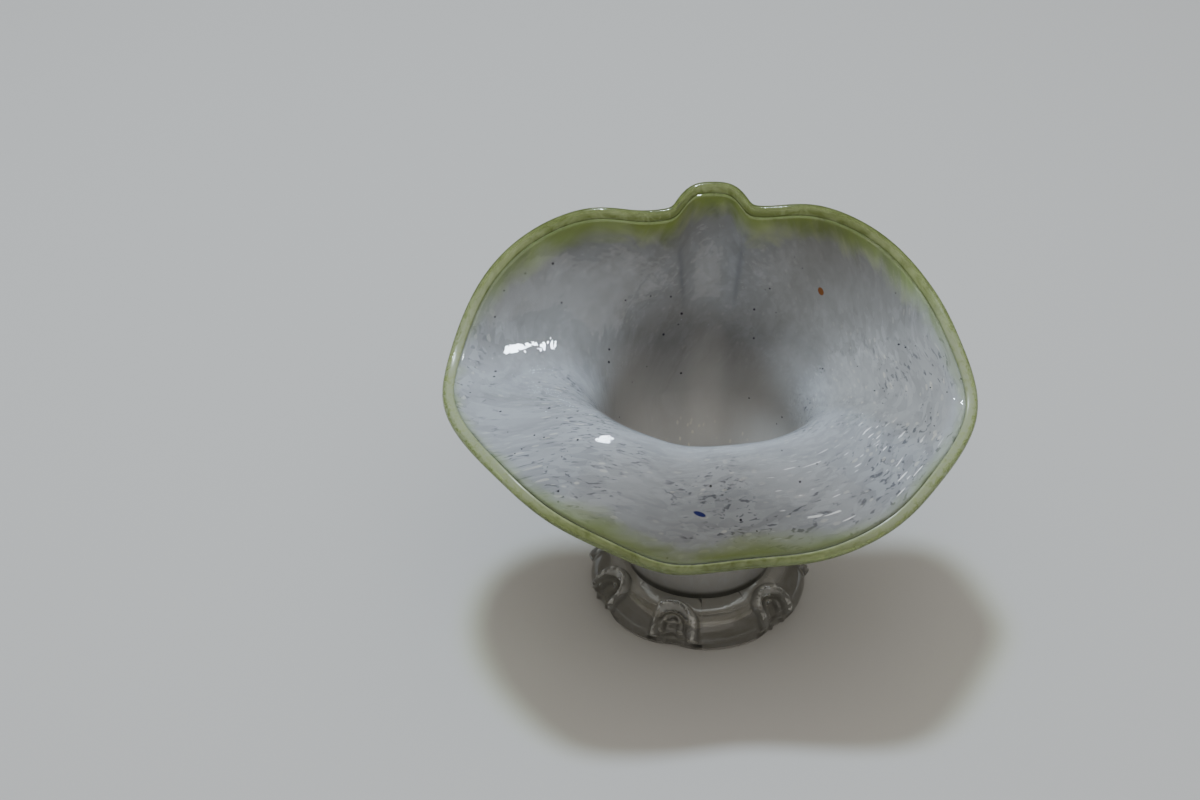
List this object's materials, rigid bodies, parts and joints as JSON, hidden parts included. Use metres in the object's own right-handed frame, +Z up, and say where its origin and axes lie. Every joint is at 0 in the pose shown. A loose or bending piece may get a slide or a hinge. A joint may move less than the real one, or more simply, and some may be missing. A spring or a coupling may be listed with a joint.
{
  "type": "art glass bowl",
  "caption": "Free-blown spatter glass bowl on a clear pinched foot, with a rolled front lip, a high pinched back and a green lip wrap.",
  "frame": {"origin": "centre of the foot's flat base, on the surface the bowl stands on", "axes": "+Z up, -Y towards the rolled front lip, +Y towards the high pinched back, +X to the right seen from the front"},
  "size_m": [0.1866, 0.1323, 0.1355],
  "materials": {
    "opal": "clear glass crowded with streaky white frit, glossy",
    "clear": "clear glass, glossy, slightly grey",
    "green": "transparent yellow-green glass, glossy"
  },
  "bodies": {
    "root": {"opal_lining": "opal", "clear_casing": "clear", "green_lip_wrap": "green", "foot_ring": "clear", "foot_crimp_1": "clear", "foot_crimp_2": "clear", "foot_crimp_3": "clear", "foot_crimp_4": "clear", "foot_crimp_5": "clear", "foot_crimp_6": "clear", "foot_crimp_7": "clear"}
  },
  "joints": []
}
